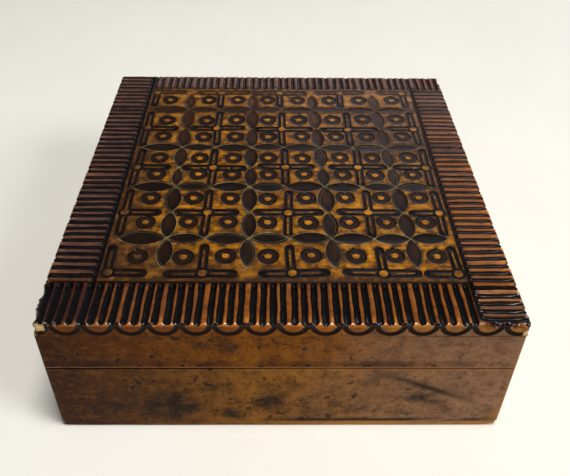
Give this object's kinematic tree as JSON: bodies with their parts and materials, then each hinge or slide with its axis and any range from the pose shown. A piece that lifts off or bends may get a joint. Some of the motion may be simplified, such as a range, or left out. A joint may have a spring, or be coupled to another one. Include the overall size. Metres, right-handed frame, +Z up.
{
  "type": "keepsake box",
  "caption": "Square wooden keepsake box with mitred walls, a lid on small brass butt hinges and a thick lid panel stamped and burnt with ribs, rings and petals.",
  "frame": {"origin": "middle of the underside of the bottom board", "axes": "+Z up, -Y towards the front, +X to the right seen from the front; the hinges are at +Y"},
  "size_m": [0.14, 0.14, 0.05],
  "materials": {
    "wall_wood": "stained figured wood under glossy lacquer",
    "bottom_wood": "stained wood, worn lighter along the lower rim",
    "panel_wood": "amber wood, stamped and burnt nearly black, glossy lacquer",
    "hinge_brass": "rolled brass, dulled",
    "screw_brass": "turned brass, dulled"
  },
  "bodies": {
    "base": {"base_front_wall": "wall_wood", "base_back_wall": "wall_wood", "base_left_wall": "wall_wood", "base_right_wall": "wall_wood", "base_bottom_board": "bottom_wood", "hinge_left_base_leaf": "hinge_brass", "hinge_left_pin": "hinge_brass", "hinge_left_base_screws": "screw_brass", "hinge_right_base_leaf": "hinge_brass", "hinge_right_pin": "hinge_brass", "hinge_right_base_screws": "screw_brass"},
    "lid": {"lid_front_wall": "wall_wood", "lid_back_wall": "wall_wood", "lid_left_wall": "wall_wood", "lid_right_wall": "wall_wood", "lid_panel": "panel_wood", "hinge_left_lid_leaf": "hinge_brass", "hinge_left_lid_screws": "screw_brass", "hinge_right_lid_leaf": "hinge_brass", "hinge_right_lid_screws": "screw_brass"}
  },
  "joints": [
    {"name": "lid_hinge", "type": "hinge", "parent": "base", "child": "lid", "pos_m": [0, 0.0682, 0.03], "axis": [-1, 0, 0], "range_deg": [0, 105]}
  ]
}
